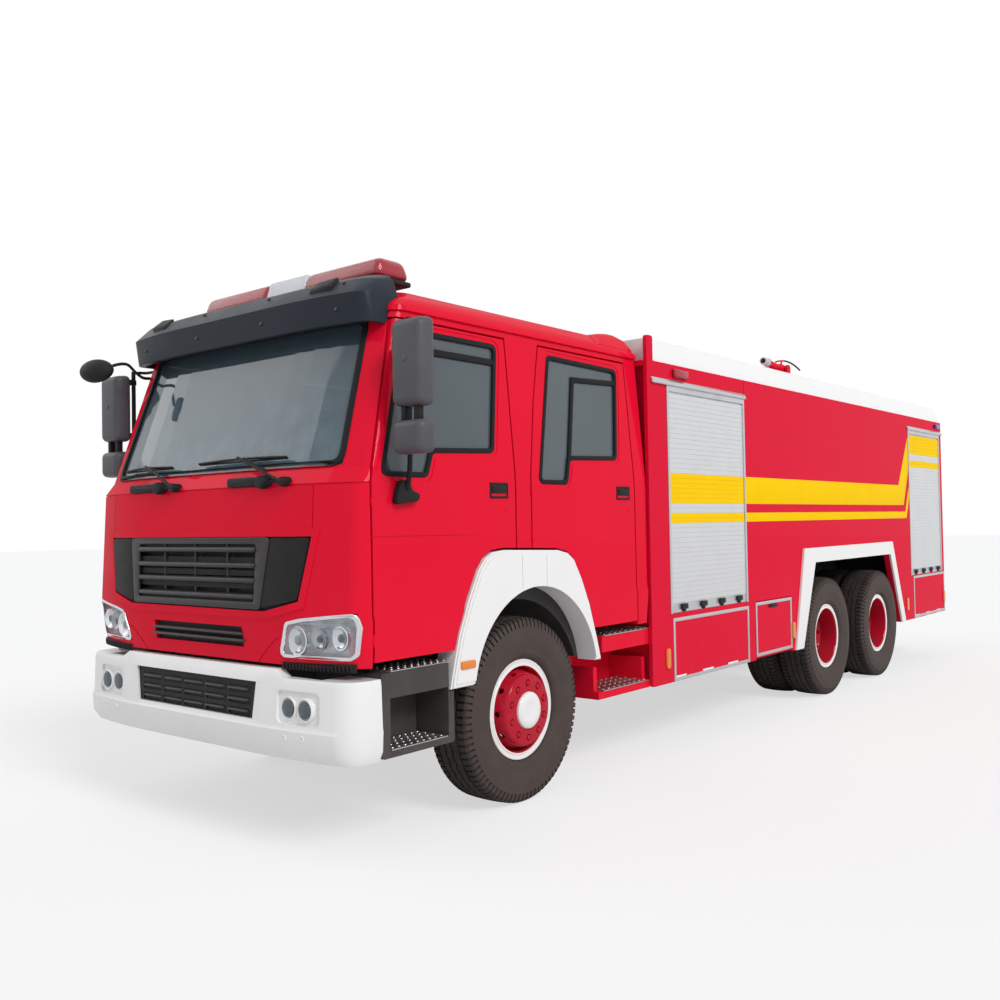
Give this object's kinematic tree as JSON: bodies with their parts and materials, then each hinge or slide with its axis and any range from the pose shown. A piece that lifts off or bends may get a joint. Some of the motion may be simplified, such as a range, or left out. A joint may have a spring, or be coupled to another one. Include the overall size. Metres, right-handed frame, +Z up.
{
  "type": "fire truck",
  "caption": "Crew-cab tank fire engine on a three-axle truck chassis with roller-shutter lockers, a roof water monitor, hinged doors and steered front wheels",
  "frame": {"origin": "on the ground under the middle of the vehicle's box", "axes": "+Z is up, the cab faces -Y, +X is the vehicle's left side"},
  "size_m": [3.04, 9.925, 3.545],
  "materials": {
    "red_paint": "gloss",
    "white_paint": "gloss",
    "chassis_black": "satin",
    "engine_iron": "matte",
    "aluminium": "satin",
    "black_plastic": "satin",
    "lamp_clear": "gloss",
    "lamp_red": "gloss",
    "glass": "gloss",
    "seat_fabric": "matte",
    "tyre_rubber": "matte"
  },
  "bodies": {
    "chassis": {"chassis_frame": "chassis_black", "axles": "chassis_black", "leaf_springs": "chassis_black", "engine": "engine_iron", "fuel_tank": "aluminium", "bumper": "white_paint", "grilles": "black_plastic", "lamps": "lamp_clear", "tail_lamps": "lamp_red", "front_steps": "black_plastic", "crew_steps": "red_paint", "cab_floor": "chassis_black", "cab_front": "red_paint", "cab_pillars": "red_paint", "cab_back": "red_paint", "cab_roof": "red_paint", "windscreen": "glass", "sun_visor": "black_plastic", "light_bar": "lamp_red", "front_mirror": "black_plastic", "cab_interior": "seat_fabric", "wheel_arches": "white_paint", "body_floor": "chassis_black", "body_sides": "red_paint", "body_ends": "red_paint", "body_roof": "white_paint", "roller_shutters": "aluminium", "rear_ladder": "aluminium", "monitor_base": "red_paint"},
    "knuckle_left": {"knuckle_left": "chassis_black"},
    "knuckle_right": {"knuckle_right": "chassis_black"},
    "tie_rod": {"tie_rod": "chassis_black"},
    "wheel_front_left": {"tyre_front_left": "tyre_rubber", "rim_front_left": "red_paint"},
    "wheel_front_right": {"tyre_front_right": "tyre_rubber", "rim_front_right": "red_paint"},
    "wheels_mid_left": {"tyres_mid_left": "tyre_rubber", "rims_mid_left": "red_paint"},
    "wheels_mid_right": {"tyres_mid_right": "tyre_rubber", "rims_mid_right": "red_paint"},
    "wheels_rear_left": {"tyres_rear_left": "tyre_rubber", "rims_rear_left": "red_paint"},
    "wheels_rear_right": {"tyres_rear_right": "tyre_rubber", "rims_rear_right": "red_paint"},
    "door_front_left": {"door_front_left": "red_paint", "glass_front_left": "glass", "mirror_left": "black_plastic"},
    "door_rear_left": {"door_rear_left": "red_paint", "glass_rear_left": "glass"},
    "flap_left": {"flap_left": "red_paint"},
    "door_front_right": {"door_front_right": "red_paint", "glass_front_right": "glass", "mirror_right": "black_plastic"},
    "door_rear_right": {"door_rear_right": "red_paint", "glass_rear_right": "glass"},
    "flap_right": {"flap_right": "red_paint"},
    "monitor_head": {"monitor_head": "red_paint"},
    "monitor_barrel": {"monitor_barrel": "red_paint"}
  },
  "joints": [
    {"name": "steer_left", "type": "hinge", "parent": "chassis", "child": "knuckle_left", "pos_m": [0.82, -3.4225, 0.555], "axis": [0, 0, 1], "range_deg": [-35, 35]},
    {"name": "steer_right", "type": "hinge", "parent": "chassis", "child": "knuckle_right", "pos_m": [-0.82, -3.4225, 0.555], "axis": [0, 0, 1], "range_deg": [-35, 35]},
    {"name": "tie_rod_end", "type": "hinge", "parent": "knuckle_left", "child": "tie_rod", "pos_m": [0.82, -3.1825, 0.452], "axis": [0, 0, -1], "range_deg": [-35, 35]},
    {"name": "roll_front_left", "type": "hinge", "parent": "knuckle_left", "child": "wheel_front_left", "pos_m": [1.02, -3.4225, 0.555], "axis": [1, 0, 0], "continuous": true},
    {"name": "roll_mid_left", "type": "hinge", "parent": "chassis", "child": "wheels_mid_left", "pos_m": [0.92, 1.1775, 0.555], "axis": [1, 0, 0], "continuous": true},
    {"name": "roll_rear_left", "type": "hinge", "parent": "chassis", "child": "wheels_rear_left", "pos_m": [0.92, 2.5775, 0.555], "axis": [1, 0, 0], "continuous": true},
    {"name": "hinge_front_left", "type": "hinge", "parent": "chassis", "child": "door_front_left", "pos_m": [1.231, -4.7195, 1.6], "axis": [0, 0, -1], "range_deg": [0, 68]},
    {"name": "hinge_rear_left", "type": "hinge", "parent": "chassis", "child": "door_rear_left", "pos_m": [1.231, -3.4035, 1.6], "axis": [0, 0, -1], "range_deg": [0, 68]},
    {"name": "hinge_flap_left", "type": "hinge", "parent": "chassis", "child": "flap_left", "pos_m": [1.23, -0.0675, 0.535], "axis": [0, 1, 0], "range_deg": [0, 90]},
    {"name": "roll_front_right", "type": "hinge", "parent": "knuckle_right", "child": "wheel_front_right", "pos_m": [-1.02, -3.4225, 0.555], "axis": [1, 0, 0], "continuous": true},
    {"name": "roll_mid_right", "type": "hinge", "parent": "chassis", "child": "wheels_mid_right", "pos_m": [-0.92, 1.1775, 0.555], "axis": [1, 0, 0], "continuous": true},
    {"name": "roll_rear_right", "type": "hinge", "parent": "chassis", "child": "wheels_rear_right", "pos_m": [-0.92, 2.5775, 0.555], "axis": [1, 0, 0], "continuous": true},
    {"name": "hinge_front_right", "type": "hinge", "parent": "chassis", "child": "door_front_right", "pos_m": [-1.231, -4.7195, 1.6], "axis": [0, 0, 1], "range_deg": [0, 68]},
    {"name": "hinge_rear_right", "type": "hinge", "parent": "chassis", "child": "door_rear_right", "pos_m": [-1.231, -3.4035, 1.6], "axis": [0, 0, 1], "range_deg": [0, 68]},
    {"name": "hinge_flap_right", "type": "hinge", "parent": "chassis", "child": "flap_right", "pos_m": [-1.23, -0.0675, 0.535], "axis": [0, -1, 0], "range_deg": [0, 90]},
    {"name": "monitor_swivel", "type": "hinge", "parent": "chassis", "child": "monitor_head", "pos_m": [0, 3.0275, 3.2], "axis": [0, 0, 1], "range_deg": [-170, 170]},
    {"name": "monitor_elevate", "type": "hinge", "parent": "monitor_head", "child": "monitor_barrel", "pos_m": [0, 3.0275, 3.42], "axis": [-1, 0, 0], "range_deg": [-15, 50]}
  ],
  "couplings": [
    {"joint": "steer_right", "follows": "steer_left", "ratio": 1},
    {"joint": "tie_rod_end", "follows": "steer_left", "ratio": 1}
  ]
}
